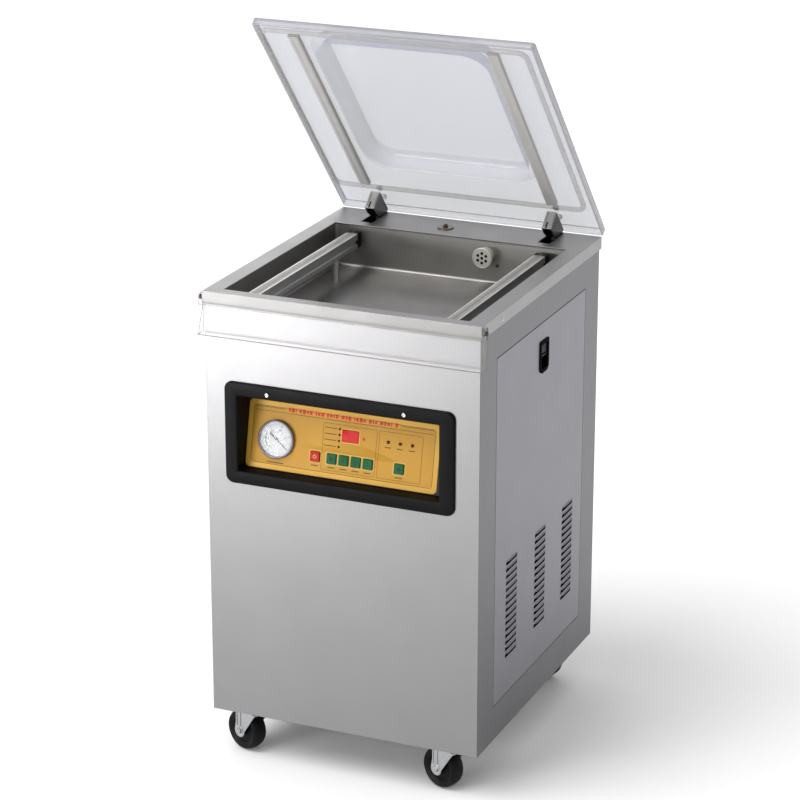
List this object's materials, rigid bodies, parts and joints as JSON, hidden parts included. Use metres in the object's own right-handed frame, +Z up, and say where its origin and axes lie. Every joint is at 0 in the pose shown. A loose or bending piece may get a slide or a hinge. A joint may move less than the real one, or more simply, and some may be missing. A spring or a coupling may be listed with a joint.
{
  "type": "vacuum packing machine",
  "caption": "Floor-standing chamber vacuum packer: stainless cabinet on casters, hinged clear lid, seal bars, gauge and control panel.",
  "frame": {"origin": "centre of the whole machine's footprint, on the floor, with the lid open", "axes": "+Z up, front faces -Y, +X is the operator's right hand side facing the machine"},
  "size_m": [0.506, 0.585, 1.2542],
  "materials": {
    "brushed_stainless": "brushed",
    "plain_stainless": "mill",
    "cast_aluminium": "satin",
    "nickel": "polished",
    "zinc": "zinc plated",
    "black_steel": "satin",
    "pump_casting": "painted casting",
    "lacquered_copper": "lacquer",
    "clear_acrylic": "clear",
    "clear_guard": "clear",
    "gauge_lens": "clear",
    "black_plastic": "satin",
    "grey_plastic": "matte",
    "red_plastic": "gloss",
    "green_plastic": "gloss",
    "gold_overlay": "printed",
    "circuit_board": "lacquer",
    "black_rubber": "matte",
    "silicone": "matte"
  },
  "bodies": {
    "cabinet": {"cabinet_shell": "brushed_stainless", "base_pan": "plain_stainless", "rear_panel": "brushed_stainless", "power_inlet": "black_plastic", "side_panel_left": "brushed_stainless", "side_panel_right": "brushed_stainless", "latch_cup_left": "black_plastic", "latch_cup_right": "black_plastic", "top_plate": "brushed_stainless", "chamber_tub": "plain_stainless", "suction_strainer": "nickel", "valve_block": "cast_aluminium", "vacuum_hose": "black_rubber", "vacuum_pump": "pump_casting", "pump_motor": "pump_casting", "transformer": "lacquered_copper", "guard_apron": "clear_guard", "switch_housing": "nickel", "hinge_bracket_left": "black_steel", "hinge_bracket_right": "black_steel", "hinge_pin_left": "nickel", "hinge_pin_right": "nickel", "lift_unit_left": "black_plastic", "lift_unit_right": "black_plastic", "control_bezel": "black_plastic", "control_panel": "gold_overlay", "control_board": "circuit_board", "gauge_case": "nickel", "gauge_glass": "gauge_lens", "display_window": "red_plastic", "caster_plate_front_left": "zinc", "caster_plate_front_right": "zinc", "caster_plate_rear_left": "zinc", "caster_plate_rear_right": "zinc"},
    "lid": {"lid_plate": "clear_acrylic", "lid_gasket": "silicone", "pressure_bar_left": "silicone", "pressure_bar_right": "silicone", "hinge_arm_left": "grey_plastic", "hinge_arm_right": "grey_plastic"},
    "left_seal_bar": {"seal_bar_left": "cast_aluminium"},
    "right_seal_bar": {"seal_bar_right": "cast_aluminium"},
    "lid_switch": {"switch_pin": "nickel"},
    "gauge_pointer": {"gauge_needle": "grey_plastic"},
    "left_latch": {"latch_slide_left": "grey_plastic"},
    "right_latch": {"latch_slide_right": "grey_plastic"},
    "button_power_cap": {"button_power": "red_plastic"},
    "button_set_cap": {"button_set": "green_plastic"},
    "button_up_cap": {"button_up": "green_plastic"},
    "button_down_cap": {"button_down": "green_plastic"},
    "button_select_cap": {"button_select": "green_plastic"},
    "button_stop_cap": {"button_stop": "green_plastic"},
    "swivel_front_left": {"caster_fork_front_left": "zinc"},
    "wheel_front_left": {"caster_wheel_front_left": "black_rubber"},
    "swivel_front_right": {"caster_fork_front_right": "zinc"},
    "wheel_front_right": {"caster_wheel_front_right": "black_rubber"},
    "swivel_rear_left": {"caster_fork_rear_left": "zinc"},
    "wheel_rear_left": {"caster_wheel_rear_left": "black_rubber"},
    "swivel_rear_right": {"caster_fork_rear_right": "zinc"},
    "wheel_rear_right": {"caster_wheel_rear_right": "black_rubber"}
  },
  "joints": [
    {"name": "lid_hinge", "type": "hinge", "parent": "cabinet", "child": "lid", "pos_m": [0, 0.26799, 0.829], "axis": [1, 0, 0], "range_deg": [0, 48]},
    {"name": "left_seal_bar_lift", "type": "slide", "parent": "cabinet", "child": "left_seal_bar", "axis": [0, 0, 1], "range_m": [0, 0.01], "stiffness_N_per_m": 1500},
    {"name": "right_seal_bar_lift", "type": "slide", "parent": "cabinet", "child": "right_seal_bar", "axis": [0, 0, 1], "range_m": [0, 0.01], "stiffness_N_per_m": 1500},
    {"name": "lid_switch_press", "type": "slide", "parent": "cabinet", "child": "lid_switch", "axis": [0, 0, -1], "range_m": [0, 0.005], "stiffness_N_per_m": 400},
    {"name": "gauge_pointer_turn", "type": "hinge", "parent": "cabinet", "child": "gauge_pointer", "pos_m": [-0.131, -0.25194, 0.58636], "axis": [0, -0.9781, 0.2079], "range_deg": [0, 270], "stiffness_Nm_per_rad": 0.001},
    {"name": "left_latch_slide", "type": "slide", "parent": "cabinet", "child": "left_latch", "axis": [0, 0, -1], "range_m": [0, 0.008], "stiffness_N_per_m": 300},
    {"name": "right_latch_slide", "type": "slide", "parent": "cabinet", "child": "right_latch", "axis": [0, 0, -1], "range_m": [0, 0.008], "stiffness_N_per_m": 300},
    {"name": "button_power_press", "type": "slide", "parent": "cabinet", "child": "button_power_cap", "axis": [0, 0.9781, -0.2079], "range_m": [0, 0.0012], "stiffness_N_per_m": 800},
    {"name": "button_set_press", "type": "slide", "parent": "cabinet", "child": "button_set_cap", "axis": [0, 0.9781, -0.2079], "range_m": [0, 0.0012], "stiffness_N_per_m": 800},
    {"name": "button_up_press", "type": "slide", "parent": "cabinet", "child": "button_up_cap", "axis": [0, 0.9781, -0.2079], "range_m": [0, 0.0012], "stiffness_N_per_m": 800},
    {"name": "button_down_press", "type": "slide", "parent": "cabinet", "child": "button_down_cap", "axis": [0, 0.9781, -0.2079], "range_m": [0, 0.0012], "stiffness_N_per_m": 800},
    {"name": "button_select_press", "type": "slide", "parent": "cabinet", "child": "button_select_cap", "axis": [0, 0.9781, -0.2079], "range_m": [0, 0.0012], "stiffness_N_per_m": 800},
    {"name": "button_stop_press", "type": "slide", "parent": "cabinet", "child": "button_stop_cap", "axis": [0, 0.9781, -0.2079], "range_m": [0, 0.0012], "stiffness_N_per_m": 800},
    {"name": "swivel_turn_front_left", "type": "hinge", "parent": "cabinet", "child": "swivel_front_left", "pos_m": [-0.185, -0.24451, 0.076], "axis": [0, 0, 1], "continuous": true},
    {"name": "wheel_roll_front_left", "type": "hinge", "parent": "swivel_front_left", "child": "wheel_front_left", "pos_m": [-0.20268, -0.23755, 0.037], "axis": [-0.3665, -0.9304, 0], "continuous": true},
    {"name": "swivel_turn_front_right", "type": "hinge", "parent": "cabinet", "child": "swivel_front_right", "pos_m": [0.185, -0.24451, 0.076], "axis": [0, 0, 1], "continuous": true},
    {"name": "wheel_roll_front_right", "type": "hinge", "parent": "swivel_front_right", "child": "wheel_front_right", "pos_m": [0.16732, -0.23755, 0.037], "axis": [-0.3665, -0.9304, 0], "continuous": true},
    {"name": "swivel_turn_rear_left", "type": "hinge", "parent": "cabinet", "child": "swivel_rear_left", "pos_m": [-0.185, 0.23849, 0.076], "axis": [0, 0, 1], "continuous": true},
    {"name": "wheel_roll_rear_left", "type": "hinge", "parent": "swivel_rear_left", "child": "wheel_rear_left", "pos_m": [-0.20268, 0.24545, 0.037], "axis": [-0.3665, -0.9304, 0], "continuous": true},
    {"name": "swivel_turn_rear_right", "type": "hinge", "parent": "cabinet", "child": "swivel_rear_right", "pos_m": [0.185, 0.23849, 0.076], "axis": [0, 0, 1], "continuous": true},
    {"name": "wheel_roll_rear_right", "type": "hinge", "parent": "swivel_rear_right", "child": "wheel_rear_right", "pos_m": [0.16732, 0.24545, 0.037], "axis": [-0.3665, -0.9304, 0], "continuous": true}
  ],
  "couplings": [
    {"joint": "right_seal_bar_lift", "follows": "left_seal_bar_lift", "ratio": 1}
  ]
}
